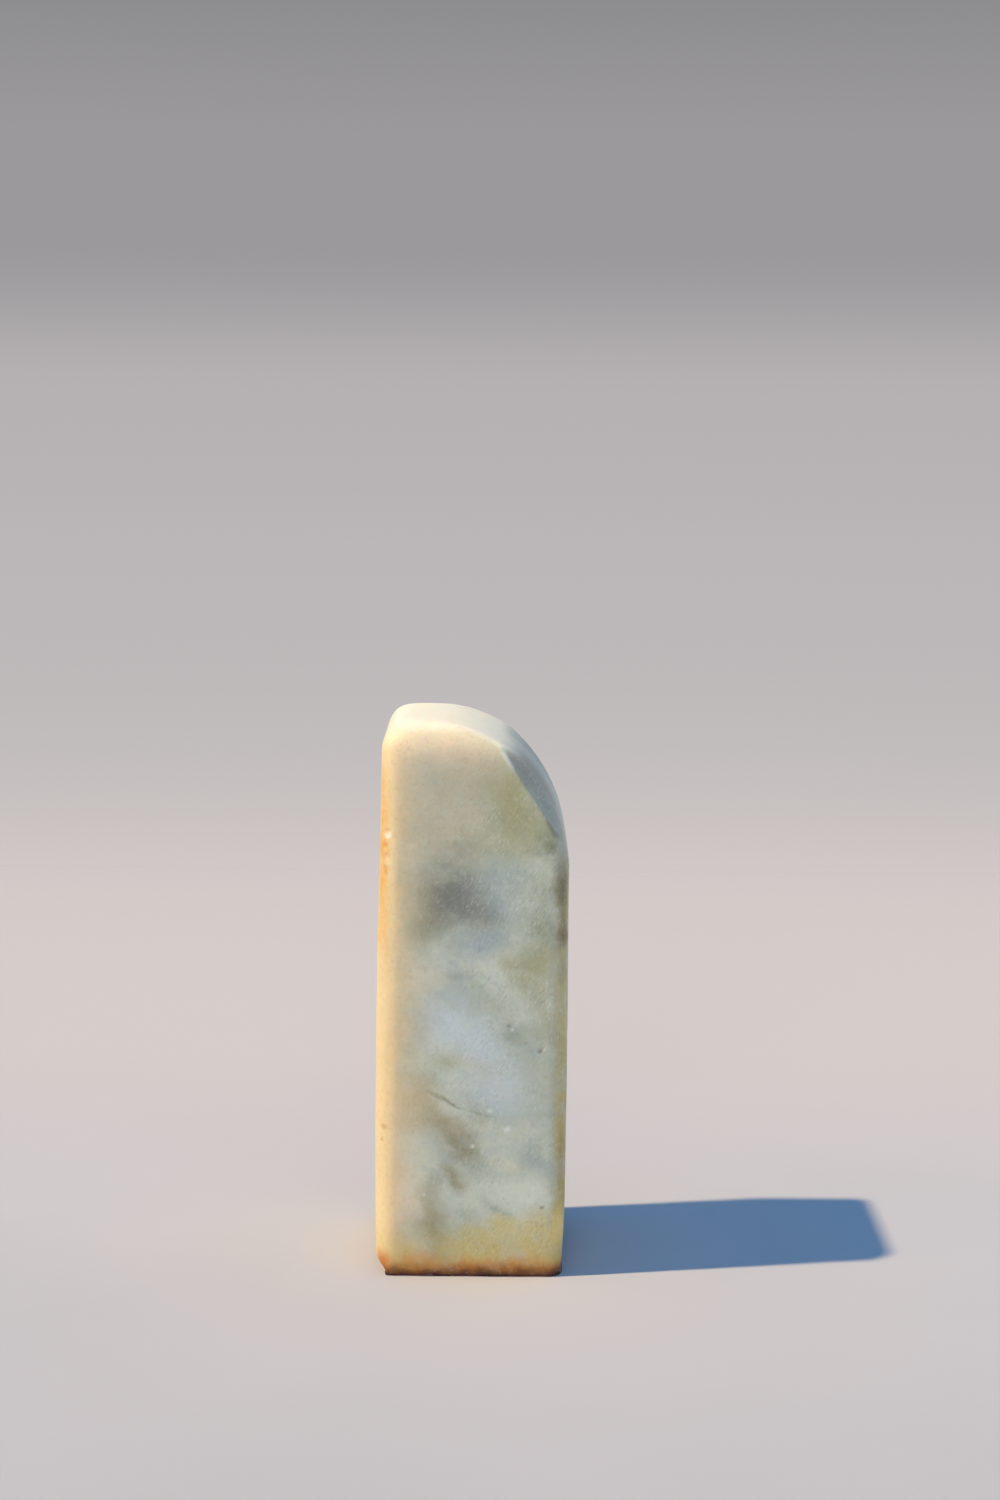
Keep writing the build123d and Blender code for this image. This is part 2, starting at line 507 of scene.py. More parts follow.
class Graph:
    """The nodes of a material or world. A value is a number, a colour as the eye reads it, or a socket."""

    def __init__(self, owner):
        owner.use_nodes = True
        self.owner = owner
        self.tree = owner.node_tree
        self.tree.nodes.clear()
        self.turned_vectors = {}

    def feed(self, socket, value):
        if isinstance(value, bpy.types.NodeSocket):
            self.tree.links.new(value, socket)
        else:
            socket.default_value = value

    def node(self, kind, inputs, **settings):
        made = self.tree.nodes.new(kind)
        for key, value in settings.items():
            setattr(made, key, value)
        for key, value in inputs.items():
            self.feed(made.inputs[key], value)
        return made

    def maths(self, operation, a, b=0.0):
        return self.node("ShaderNodeMath", {0: a, 1: b}, operation=operation).outputs[0]

    def times(self, *values):
        result = values[0]
        for value in values[1:]:
            result = self.maths("MULTIPLY", result, value)
        return result

    def vector(self, operation, a, b=(0, 0, 0)):
        return self.node("ShaderNodeVectorMath", {0: a, 1: b}, operation=operation).outputs[0]

    def scaled(self, vector, factors):
        return self.vector("MULTIPLY", vector, factors)

    def noise(self, vector, size, detail=3.0, roughness=0.55, output="Fac", **inputs):
        """Noise from 0 to 1, with bumps of this size."""
        made = self.node("ShaderNodeTexNoise", {"Vector": vector, "Scale": 1 / size, "Detail": detail,
                                                "Roughness": roughness, **inputs})
        return made.outputs[output]

    def step(self, value, start, end, to_start=0.0, to_end=1.0):
        """A smooth step as the value goes from the start to the end, which may lie either way."""
        made = self.node("ShaderNodeMapRange", {"Value": value, "From Min": start, "From Max": end,
                                                "To Min": to_start, "To Max": to_end},
                         interpolation_type="SMOOTHSTEP")
        return made.outputs["Result"]

    def mix(self, factor, a, b):
        """The first colour where the factor is 0, and the second where it is 1."""
        made = self.node("ShaderNodeMix", {0: factor}, data_type="RGBA")
        for index, colour in zip(MIX_COLOURS, (a, b)):
            self.feed(made.inputs[index], linear(colour) if isinstance(colour, tuple) else colour)
        return made.outputs[MIX_RESULT]

    def warped(self, vector, size, reach, detail=2.0):
        """The vector pushed about by noise of this size, by up to about the reach."""
        push = self.vector("SUBTRACT", self.noise(vector, size, detail, output="Color"), (0.5, 0.5, 0.5))
        return self.vector("ADD", vector, self.scaled(push, (2 * reach,) * 3))

    def warped_by(self, vector, warps):
        for size, reach, detail in warps:
            vector = self.warped(vector, size, reach, detail)
        return vector

    def turned(self, vector, tilt):
        """The vector turned back by a tilt about Y. Clouds with the same tilt share it."""
        key = (vector.node.name, tilt)
        if key not in self.turned_vectors:
            rotation = (0, -math.radians(tilt), 0)
            made = self.node("ShaderNodeMapping", {"Vector": vector, "Rotation": rotation})
            self.turned_vectors[key] = made.outputs[0]
        return self.turned_vectors[key]

    def cloud(self, vector, centre, radii, tilt, soft):
        """1 in the middle of a tilted ball-like cloud and 0 outside it, with an edge this soft."""
        middle = Matrix.Rotation(-math.radians(tilt), 3, "Y") @ Vector(centre)
        shares = [1 / radius for radius in radii]
        start = [-part * share for part, share in zip(middle, shares)]
        away = self.node("ShaderNodeVectorMath", {0: self.turned(vector, tilt), 1: shares, 2: start},
                         operation="MULTIPLY_ADD").outputs[0]
        return self.step(self.length(away), 1.0, 1 - soft)

    def length(self, vector):
        return self.node("ShaderNodeVectorMath", {0: vector}, operation="LENGTH").outputs["Value"]

    def place(self):
        """The point on the object, in millimetres."""
        made = self.node("ShaderNodeTexCoord", {})
        return self.scaled(made.outputs["Object"], (1 / MM,) * 3)

    def parts(self, vector):
        return self.node("ShaderNodeSeparateXYZ", {0: vector}).outputs

    def bump(self, height, distance, strength, below=None):
        inputs = {"Height": height, "Distance": distance * MM, "Strength": strength}
        if below is not None:
            inputs["Normal"] = below
        return self.node("ShaderNodeBump", inputs).outputs[0]

    def finish(self, **inputs):
        """The material's shader, with its inputs named by words joined with underscores."""
        named = {key.replace("_", " "): value for key, value in inputs.items()}
        shader = self.node("ShaderNodeBsdfPrincipled", named)
        self.node("ShaderNodeOutputMaterial", {"Surface": shader.outputs[0]})


# The stone's colours

CELADON = (188, 190, 167)
PALE = (213, 212, 189)
MILK = (222, 222, 198)
BLUE_WHITE = (211, 214, 208)
BLUE_GREY = (173, 179, 172)
SMOKE = (122, 121, 112)
OLIVE = (172, 164, 115)
GREEN_GREY = (158, 163, 142)
BEIGE = (200, 186, 152)
TAN = (200, 178, 134)
GREY_BROWN = (156, 146, 114)
SAND = (176, 158, 118)
KHAKI = (160, 144, 98)
MOSS = (134, 136, 104)
BROWN = (122, 100, 62)
SHELL = (232, 220, 192)
YELLOW = (232, 204, 128)
STRAW = (190, 167, 82)
# CREAM, HONEY, GLOW and AMBER also carry a painted glow where light sinks in at the left edge and the top.
CREAM = (240, 213, 172)
# A painted highlight on the top and the shoulder where they face up.
UPWARD_HIGHLIGHT = (255, 234, 200)
HONEY = (226, 202, 151)
GLOW = (232, 202, 150)
AMBER = (226, 167, 84)
OCHRE = (208, 184, 108)
APRICOT = (240, 212, 136)
ORANGE = (206, 132, 46)
BURNT_ORANGE = (196, 112, 40)
RUST = (142, 84, 28)
UMBER = (104, 62, 26)
MAROON = (74, 30, 18)
DIRT = (104, 100, 74)

# The thin skin of the raw stone, and the painted shade on the slope of the cut shoulder, above and below.
RAW_SKIN = (214, 188, 142)
SLOPE_SHADE_HIGH = (146, 137, 116)
SLOPE_SHADE_LOW = (172, 174, 158)

# The bevel from top to bottom, and its edge with a painted highlight high up and painted shade low down.
BEVEL_TOP = (240, 234, 214)
BEVEL_MIDDLE = (162, 159, 142)
BEVEL_LOW = (165, 168, 153)
RIDGE_HIGHLIGHT = (246, 242, 224)
RIDGE_SHADE = (100, 98, 74)

# The grain's mottle, its streaks and its flecks: the pale streaks and flecks are grain with painted glints of
# tiny bumps, and the dark streaks are grain with their painted shade.
MOTTLE_LIGHT = (226, 226, 208)
MOTTLE_DARK = (118, 116, 96)
STREAK_PALE_AND_GLINT = (238, 236, 214)
STREAK_DARK_AND_SHADE = (104, 102, 78)
FLECK_AND_GLINT = (244, 242, 224)

# The face: stone rubbed bare, stone pressed into paste, and the cuts.
RUBBED_FACE = (188, 160, 128)
PRESSED_FACE = (186, 54, 36)
CUT_FACE = (112, 34, 24)

# The colour of the cuts starts and is full this far from the middle.
CUT_REACH = (8.5, 8.4)

# Marks on the front: pits painted dark as painted shade, painted glints beside two of them and on the nicks
# of the left edge, specks of white mineral, and orange and brown stains: the centre, radius, colour and
# strength.
SPOTS = (
    # Pits painted dark as painted shade, with painted glints beside two of them.
    ((7.2, -10, 24.1), 0.4, (96, 94, 68), 0.6),
    ((7.55, -10, 24.4), 0.3, (232, 230, 210), 0.6),
    ((7.5, -10, 7.5), 0.32, (96, 94, 68), 0.5),
    ((3.9, -10, 26.8), 0.36, (110, 110, 82), 0.55),
    ((4.3, -10, 26.5), 0.3, (226, 226, 206), 0.6),
    # Specks of white mineral.
    ((3.8, -10, 15.8), 0.55, (236, 238, 226), 0.7),
    ((2.0, -10, 17.8), 0.4, (236, 238, 226), 0.6),
    ((-4.6, -10, 8.8), 0.35, (228, 222, 200), 0.5),
    # Painted glints on the nicks of the left edge, with orange stains between them.
    ((-8.65, -9.68, 46.4), 0.62, (255, 250, 232), 0.95),
    ((-8.9, -9.45, 45.3), 0.75, (222, 146, 44), 0.8),
    ((-8.8, -9.6, 44.1), 0.55, (255, 248, 226), 0.95),
    ((-8.9, -9.5, 42.8), 0.7, (206, 140, 50), 0.8),
    ((-9.0, -9.55, 15.8), 0.55, (200, 152, 86), 0.7),
    ((-9.1, -9.5, 14.6), 0.35, (190, 144, 84), 0.6),
    ((0.2, -10, 14.0), 0.3, (230, 230, 212), 0.6),
)

# How places are pushed about before colours are laid by them, a lot for the clouds, a little for the edges
# and finely for lines and spots: the size of each noise, its reach and its detail.
LOOSE_WARPS = ((6.0, 1.6, 2.0), (2.2, 0.8, 3.0), (0.8, 0.22, 3.0))
CLOSE_WARPS = ((1.6, 0.35, 3.0),)
CREASED_WARPS = ((2.0, 0.4, 2.0), (0.5, 0.1, 3.0))

# The stone's clouds lie in drifts that fall to the right, at this angle and pressed by these factors.
DRIFT_TILT = 32
DRIFT_PRESS = (0.55, 0.8, 1.0)

# The shoulder is a quarter of this ellipse: its centre along X and Z, and its half axes.
SHOULDER_X, SHOULDER_Z = -4.0, 41.5
SHOULDER_REACH, SHOULDER_FALL = 14.1, 16.5

# The flat bevel along the shoulder's front edge: the way it faces, and how far it lies from the origin.
BEVEL_FACING = (0.5952, -0.7071, 0.3818)
BEVEL_DISTANCE = 29.968

# The fine grain leans to the right, this far from upright. Its streaks and flecks are stretched along it.
GRAIN_LEAN = 28
STREAK_SCALES = (1 / 0.2, 1 / 0.2, 1 / 0.55)
FLECK_SCALES = (1 / 0.5, 1 / 0.5, 1 / 0.9)

# Clouds fade out over nearly their whole radius, so those in the two lists below are drawn this much
# larger. Those on the front reach this far into the stone.
CLOUD_SOFTNESS = 0.95
FRONT_GROWTH = 1.35
OTHER_GROWTH = 1.3
FRONT_CLOUD_DEPTH = 5.0

# Clouds on the front, as the photo shows them: x and z, radii along x and z, tilt, colour, strength.
FRONT_CLOUDS = (
    (-2.0, 51.0, 8.0, 7.0, 0, BEIGE, 0.75),
    (-3.5, 45.5, 5.0, 5.0, 0, TAN, 0.35),
    (4.9, 49.4, 5.6, 3.6, 60, OLIVE, 0.85),
    (-1.4, 44.8, 3.0, 2.4, 0, SMOKE, 0.4),
    (3.0, 46.0, 4.6, 2.8, 0, OLIVE, 0.35),
    (8.2, 45.2, 1.5, 3.4, -20, MOSS, 0.8),
    (7.8, 40.2, 1.6, 2.2, 0, MOSS, 0.4),
    (3.4, 40.4, 2.8, 3.8, 0, BLUE_GREY, 0.85),
    (6.2, 40.6, 2.0, 3.0, 0, CELADON, 0.5),
    (-4.6, 39.2, 3.4, 4.2, 0, GREY_BROWN, 0.6),
    (-1.6, 40.0, 5.0, 4.0, 20, SMOKE, 0.55),
    (-2.2, 40.4, 3.0, 2.6, 0, SMOKE, 0.6),
    (0.9, 38.4, 3.0, 2.0, 40, SMOKE, 0.5),
    (-4.6, 37.4, 2.2, 1.8, 0, GREY_BROWN, 0.6),
    (0.6, 35.4, 3.6, 2.0, 0, BLUE_GREY, 0.9),
    (7.4, 37.2, 2.4, 2.0, 20, MOSS, 0.7),
    (6.8, 33.8, 2.6, 2.6, 20, OLIVE, 0.7),
    (4.0, 33.2, 1.8, 1.6, 20, OLIVE, 0.5),
    (6.6, 31.0, 3.0, 2.6, 20, OLIVE, 0.5),
    (-5.4, 31.6, 3.6, 3.0, 0, SHELL, 0.65),
    (-1.2, 31.9, 1.6, 0.8, 0, GREEN_GREY, 0.45),
    (-1.8, 27.0, 4.6, 3.0, 20, BLUE_WHITE, 0.95),
    (1.6, 24.2, 4.0, 2.4, 40, BLUE_WHITE, 0.75),
    (5.8, 28.6, 2.2, 2.0, 0, PALE, 0.5),
    (4.6, 26.0, 1.3, 1.4, -20, GREEN_GREY, 0.6),
    (7.8, 27.4, 1.6, 3.0, 0, OLIVE, 0.45),
    (-2.8, 23.2, 2.6, 1.4, 0, OLIVE, 0.4),
    (2.6, 20.0, 4.6, 3.0, 20, BLUE_WHITE, 0.7),
    (-5.4, 18.6, 2.8, 3.4, 20, TAN, 0.75),
    (-3.2, 16.4, 3.0, 1.8, 20, SAND, 0.75),
    (-1.2, 14.2, 3.3, 1.9, 40, GREY_BROWN, 0.9),
    (7.6, 17.2, 1.6, 3.4, 0, GREEN_GREY, 0.3),
    (2.9, 14.6, 2.6, 2.8, 20, PALE, 0.75),
    (3.4, 12.0, 1.8, 1.3, 20, SHELL, 0.6),
    (1.5, 16.2, 1.2, 1.0, 0, PALE, 0.6),
    (9.4, 5.2, 1.2, 3.0, 0, YELLOW, 0.9),
    (-1.7, 10.8, 2.4, 1.1, 40, GREY_BROWN, 0.85),
    (-3.7, 5.4, 1.5, 6.0, 0, KHAKI, 0.7),
    (-6.8, 8.4, 2.2, 3.8, 0, SHELL, 0.75),
    (6.2, 8.8, 3.2, 2.6, 0, MILK, 0.8),
    (3.3, 7.4, 1.8, 0.9, 40, GREEN_GREY, 0.5),
    (3.4, 5.8, 2.0, 1.4, 20, OCHRE, 0.7),
    (0.8, 3.6, 4.4, 2.6, 0, OCHRE, 0.9),
    (6.8, 4.0, 3.2, 3.0, -20, OCHRE, 0.85),
    (6.8, 1.2, 3.4, 1.6, 0, ORANGE, 0.85),
    (-6.6, 1.0, 3.8, 1.5, 0, ORANGE, 0.85),
)

# Clouds on the sides that the photo does not show: the whole centre, all radii, tilt, colour, strength.
OTHER_CLOUDS = (
    ((10, 1, 27), (3, 6, 7), 0, BLUE_WHITE, 0.8),
    ((10, -3, 18), (3, 4, 4), 0, GREY_BROWN, 0.7),
    ((10, 4, 12), (3, 5, 4), 0, PALE, 0.7),
    ((10, 6, 34), (3, 3, 4), 0, OLIVE, 0.8),
    ((10, -1, 38), (4, 3, 3), 0, SMOKE, 0.5),
    ((10, 3, 3), (3, 6, 3), 0, OCHRE, 0.8),
    ((4, 10, 47), (5, 4, 6), 20, OLIVE, 0.7),
    ((-4, 10, 41), (4, 4, 4), -20, SMOKE, 0.8),
    ((-1, 10, 38), (3, 4, 2.4), 40, SMOKE, 0.6),
    ((5, 10, 33), (4, 4, 4), 0, CELADON, 0.8),
    ((2, 10, 27), (6, 4, 2.6), 20, BLUE_WHITE, 0.9),
    ((-4, 10, 22), (4, 4, 3), 20, GREEN_GREY, 0.8),
    ((5, 10, 18), (4, 4, 3), 40, SHELL, 0.8),
    ((-1, 10, 12), (4, 4, 1.4), 40, GREY_BROWN, 0.95),
    ((5, 10, 7), (4, 4, 4), -20, PALE, 0.7),
    ((-5, 10, 4), (5, 3, 4), 0, OCHRE, 0.9),
    ((-10, 3, 32), (3, 5, 8), 0, CREAM, 0.6),
    ((-10, -2, 15), (3, 5, 5), 0, SAND, 0.7),
    ((-10, 5, 22), (3, 3, 4), 0, GREEN_GREY, 0.5),
    ((-10, 4, 47), (3, 5, 5), 0, TAN, 0.7),
    ((-10, -3, 3), (3, 6, 2.4), 0, ORANGE, 0.7),
    ((1, 4, 57), (3, 3, 3), 0, PALE, 0.5),
)

# Stains down the right edge, and at the two front corners of the foot: the centre, radii, colour, strength.
EDGE_STAINS = (
    ((9.7, -9.6, 41.2), (2.0, 2.2, 4.2), DIRT, 0.85),
    ((9.7, -9.6, 37.5), (1.3, 2.2, 4.5), BROWN, 0.75),
    ((9.7, -9.6, 36.0), (1.5, 2.2, 1.8), BROWN, 0.85),
    ((9.7, -9.6, 32.4), (1.3, 2.2, 2.2), BROWN, 0.4),
    ((9.7, -9.6, 12.5), (1.3, 2.2, 4.5), BROWN, 0.3),
)
FOOT_STAINS = (
    ((9.8, -9.6, 5.0), (2.0, 2.4, 3.8), APRICOT, 0.9),
    ((-9.2, -9.6, 1.6), (1.7, 2.2, 1.7), BURNT_ORANGE, 0.85),
)

# A hairline vein in three parts, and a pale scratch over the smoky cloud: the centre, length, width, tilt,
# colour and strength.
LINES = (
    ((-2.8, -10, 19.0), 2.8, 0.40, 28, GREY_BROWN, 0.6),
    ((-1.7, -10, 18.4), 1.7, 0.16, 28, (124, 118, 90), 0.45),
    ((1.0, -10, 17.4), 2.0, 0.20, 12, (138, 134, 106), 0.4),
    ((1.2, -10, 39.0), 1.9, 0.14, -52, (196, 198, 182), 0.35),
)
LINE_DEPTH = 2.0
SPOT_SOFTNESS = 0.9


class StoneColour:
    """The stone's colour, laid on in layers, and the places and noise that the layers share.

    A step along X, Y or Z starts and ends in millimetres, and a step in noise at shares of 0 to 1.
    """

    def __init__(self, g):
        self.g = g
        self.place = g.place()
        self.x, self.y, self.z = g.parts(self.place)
        self.loose = g.warped_by(self.place, LOOSE_WARPS)
        self.drift = g.scaled(g.turned(self.loose, DRIFT_TILT), DRIFT_PRESS)
        self.colour = CELADON

    def lay(self, paint, *masks):
        """Lays a paint over the colour, as strongly as the masks multiplied together."""
        self.colour = self.g.mix(self.g.times(*masks), self.colour, paint)

    def lay_body(self):
        """The body of the stone is grey-green, with paler, bluer and browner drifts."""
        g = self.g
        self.lay(PALE, g.step(g.noise(self.drift, 5, 4, 0.55), 0.38, 0.64))
        self.lay(BLUE_GREY, g.step(g.noise(self.drift, 3.4, 4, 0.6, Distortion=0.4), 0.5, 0.72), 0.6)
        elsewhere = g.vector("ADD", self.drift, (40, 9, 3))
        self.lay(TAN, g.step(g.noise(elsewhere, 4.2, 4, 0.6), 0.52, 0.75), 0.45)

    def lay_clouds(self):
        """Clouds of other tones lie in the body, with wispy edges."""
        g = self.g
        wispy = g.step(g.noise(self.drift, 1.6, 4, 0.65), 0.25, 0.55, 0.45, 1.0)
        for x, z, radius_x, radius_z, tilt, paint, strength in FRONT_CLOUDS:
            radii = (radius_x * FRONT_GROWTH, FRONT_CLOUD_DEPTH, radius_z * FRONT_GROWTH)
            mask = g.cloud(self.loose, (x, -HALF_DEPTH, z), radii, tilt, CLOUD_SOFTNESS)
            self.lay(paint, mask, wispy, strength)
        for centre, radii, tilt, paint, strength in OTHER_CLOUDS:
            grown = tuple(radius * OTHER_GROWTH for radius in radii)
            self.lay(paint, g.cloud(self.loose, centre, grown, tilt, CLOUD_SOFTNESS), wispy, strength)

    def find_edges(self):
        """The noise and the places, pushed about a lot or a little, that the next layers are laid by."""
        g = self.g
        self.patchy = g.noise(self.loose, 3.2, 4, 0.6)
        self.loose_x, self.loose_y, self.loose_z = g.parts(self.loose)
        self.close = g.warped_by(self.place, CLOSE_WARPS)
        self.close_x, self.close_y, self.close_z = g.parts(self.close)

    def lay_warm_edges_and_painted_glow(self):
        """The left edge and the top are warm and clear: the stone's warm tone, with a painted glow of the
        light that sinks in there.
        """
        g = self.g
        toward_front = g.step(self.loose_y, -3.0, -9.0, 0.25, 1.0)
        # HONEY, GLOW and AMBER are the warm skin tone with a painted glow of light sinking in at the lit left
        # edge.
        self.lay(HONEY, g.step(self.loose_x, -3.4, -9.4), toward_front, 0.9)
        self.lay(GLOW, g.step(self.close_x, -6.8, -9.6), g.step(self.close_y, -5.5, -9.0),
                 g.step(self.patchy, 0.15, 0.6, 0.75, 1.0))
        amber_glow = g.times(g.step(self.close_x, -8.0, -9.3), g.step(self.close_y, -6.8, -9.2),
                        g.step(self.close_z, 30, 40), g.step(self.close_z, 56, 50))
        self.lay(AMBER, amber_glow, g.step(self.patchy, 0.35, 0.6, 0.5, 1.0))
        # CREAM over the top and the front's upper edge is the top's cream tone with a painted glow of light
        # sinking in from above.
        left_of_slope = g.step(self.x, 6.5, 2.0)
        self.lay(CREAM, g.step(self.loose_z, 51.5, 58.6), left_of_slope, 0.95)

    def lay_skin(self):
        """The left side keeps a thin brown skin of the raw stone."""
        g = self.g
        self.lay(RAW_SKIN, g.step(self.loose_x, -8.8, -9.7),
                 g.step(g.noise(self.drift, 5.0, 5, 0.6), 0.38, 0.72), g.step(self.loose_y, -9.0, -6.0), 0.5)

    def lay_shoulder_light_and_shade(self):
        """The cut shoulder has a painted highlight where it faces up, and painted shade down its slope."""
        g, x, y, z = self.g, self.x, self.y, self.z
        run = g.maths("DIVIDE", g.maths("SUBTRACT", x, SHOULDER_X), SHOULDER_REACH)
        rise = g.maths("DIVIDE", g.maths("SUBTRACT", z, SHOULDER_Z), SHOULDER_FALL)
        out = g.maths("ADD", g.times(run, run), g.times(rise, rise))
        on_ellipse = g.times(g.step(out, 0.92, 0.99), g.step(x, -5.0, -2.0), g.step(z, 49.0, 52.0))
        facing_up_highlight = g.maths("MAXIMUM", on_ellipse, g.step(z, 56.6, 57.8))
        self.lay(UPWARD_HIGHLIGHT, facing_up_highlight, g.step(x, 4.3, 2.6), 0.8)
        # Painted shade down the slope, strongest at the front.
        slope = g.times(g.step(out, 0.80, 0.92), g.step(x, 3.6, 5.6), g.step(self.loose_z, 40.0, 46.0),
                        g.step(y, -9.97, -9.8))
        slope = g.times(slope, g.step(self.loose_y, 2.0, -7.0, 0.4, 0.9))
        self.lay(g.mix(g.step(z, 51.0, 46.0), SLOPE_SHADE_HIGH, SLOPE_SHADE_LOW), slope)

    def lay_bevel(self):
        """The bevel is polished grey, and its front edge has a painted highlight high up and painted shade
        low down.
        """
        g, x, y, z = self.g, self.x, self.y, self.z
        along = g.node("ShaderNodeVectorMath", {0: self.place, 1: BEVEL_FACING}, operation="DOT_PRODUCT")
        over = g.maths("SUBTRACT", along.outputs["Value"], BEVEL_DISTANCE)
        bevel = g.times(g.step(over, -0.36, -0.16), g.step(y, -9.95, -9.75))
        paint = g.mix(g.step(z, 56.8, 54.2), BEVEL_TOP, BEVEL_MIDDLE)
        paint = g.mix(g.step(z, 53.5, 48.5), paint, BEVEL_LOW)
        self.lay(paint, bevel, 0.85)
        ridge = g.times(g.step(over, -0.4, -0.1), g.step(y, -9.6, -9.9), g.step(x, 1.0, 3.0))
        # Along the ridge: a painted highlight high up, and painted shade low down.
        self.lay(RIDGE_HIGHLIGHT, ridge, g.step(z, 52.8, 54.8), 0.75)
        self.lay(RIDGE_SHADE, ridge, g.step(z, 49.0, 47.5), 0.5)

    def lay_stains(self):
        """The right edge and the foot are stained, and the rim of the foot is painted darker towards its
        bottom edge.
        """
        g, z = self.g, self.z
        right = g.times(g.step(self.close_x, 8.0, 9.4), g.step(self.close_y, -5, -9),
                        g.step(self.patchy, 0.3, 0.6, 0.5, 1.0), g.step(z, 46, 40))
        self.lay(STRAW, right, g.step(z, 30, 12, 0.6, 0.85))
        self.lay_stain_clouds(EDGE_STAINS)
        self.lay(OCHRE, g.step(self.loose_z, 6.0, 0.5), g.step(self.patchy, 0.25, 0.7))
        self.lay(ORANGE, g.step(self.loose_z, 2.6, 0.4), g.step(self.patchy, 0.3, 0.62, 0.5, 1.0), 0.95)
        self.lay_stain_clouds(FOOT_STAINS)
        # The foot is painted darker towards its bottom edge, in rust, umber and maroon.
        ragged_height = g.maths("ADD", z, g.times(g.noise(self.place, 1.4, 4), -1.1))
        uneven = g.step(g.noise(self.place, 4.5, 3), 0.38, 0.62, 0.5, 0.95)
        self.lay(RUST, g.step(ragged_height, 1.3, 0.0), uneven)
        self.lay(UMBER, g.step(ragged_height, 0.45, -0.1), 0.75)
        self.lay(MAROON, g.step(ragged_height, 0.0, -0.4), 0.95)

    def lay_stain_clouds(self, stains):
        for centre, radii, paint, strength in stains:
            self.lay(paint, self.g.cloud(self.close, centre, radii, 0, CLOUD_SOFTNESS), strength)

    def lay_lines_and_spots(self):
        """A vein, a scratch and specks mark the stone, and pits are painted dark as painted shade, with
        painted glints beside some of them and on the left edge's nicks.
        """
        g = self.g
        creased = g.warped_by(self.place, CREASED_WARPS)
        for centre, length, width, tilt, paint, strength in LINES:
            line = g.cloud(creased, centre, (length, LINE_DEPTH, width), tilt, CLOUD_SOFTNESS)
            self.lay(paint, line, strength)
        for spot, radius, paint, strength in SPOTS:
            self.lay(paint, g.cloud(creased, spot, (radius, radius, radius), 0, SPOT_SOFTNESS), strength)

    def lay_grain(self):
        """Fine grain is a soft mottle with slanting streaks in loose groups, and a few bright flecks. The
        pale streaks and flecks carry painted glints of tiny bumps, and the dark streaks their painted shade.
        """
        g = self.g
        self.grain = g.noise(g.warped(self.place, 0.6, 0.2), 0.5, 4, 0.6)
        self.lay(MOTTLE_LIGHT, g.step(self.grain, 0.52, 0.72), 0.12)
        self.lay(MOTTLE_DARK, g.step(self.grain, 0.48, 0.28), 0.12)
        slanting = g.turned(g.warped(self.place, 1.5, 0.15), GRAIN_LEAN)
        rough_side = g.step(self.x, -6.0, 2.0, 0.35, 1.0)
        streaks = g.noise(g.scaled(slanting, STREAK_SCALES), 1, 2, 0.5)
        crowd = g.step(g.noise(g.vector("ADD", self.place, (17, 5, 8)), 3.5, 3), 0.35, 0.62, 0.25, 1.0)
        above_foot = g.step(self.z, 1.0, 3.0)
        # Pale streaks and flecks are grain with painted glints, and dark streaks are grain with painted
        # shade.
        self.pale_streaks_and_glints = g.times(g.step(streaks, 0.53, 0.74), crowd, above_foot, rough_side)
        self.lay(STREAK_PALE_AND_GLINT, self.pale_streaks_and_glints, 0.28)
        self.lay(STREAK_DARK_AND_SHADE, g.step(streaks, 0.44, 0.28), crowd, rough_side, 0.2)
        self.flecks = g.times(fleck_mask(g, slanting), crowd, above_foot)
        self.lay(FLECK_AND_GLINT, self.flecks, 0.3)

    def lay_face(self):
        """The face has been pressed into red paste, and the knife's cuts hold it."""
        g, z = self.g, self.z
        pressed = g.times(g.step(z, 0.1, 0.02), g.step(g.noise(self.place, 0.9, 5, 0.7), 0.3, 0.55, 0.3, 1.0))
        self.lay(RUBBED_FACE, g.step(z, 0.1, 0.02))
        self.lay(PRESSED_FACE, pressed, 0.95)
        cut = g.times(g.step(z, 0.95, 0.85), g.step(z, 0.04, 0.12),
                      g.step(g.maths("ABSOLUTE", self.x), *CUT_REACH),
                      g.step(g.maths("ABSOLUTE", self.y), *CUT_REACH))
        self.lay(CUT_FACE, cut, g.step(g.noise(self.place, 0.7, 4), 0.3, 0.6, 0.5, 0.95))


def fleck_mask(g, slanting):
    """Small longish flecks, one to a cell, with most cells bare."""
    cells = g.node("ShaderNodeTexVoronoi", {"Vector": g.scaled(slanting, FLECK_SCALES), "Scale": 1.0})
    size = g.step(g.parts(cells.outputs["Color"])[0], 0.6, 1.1)
    radius = g.step(size, 0.0, 1.0, 0.02, 0.34)
    return g.times(g.step(cells.outputs["Distance"], radius, g.times(radius, 0.1)), size)


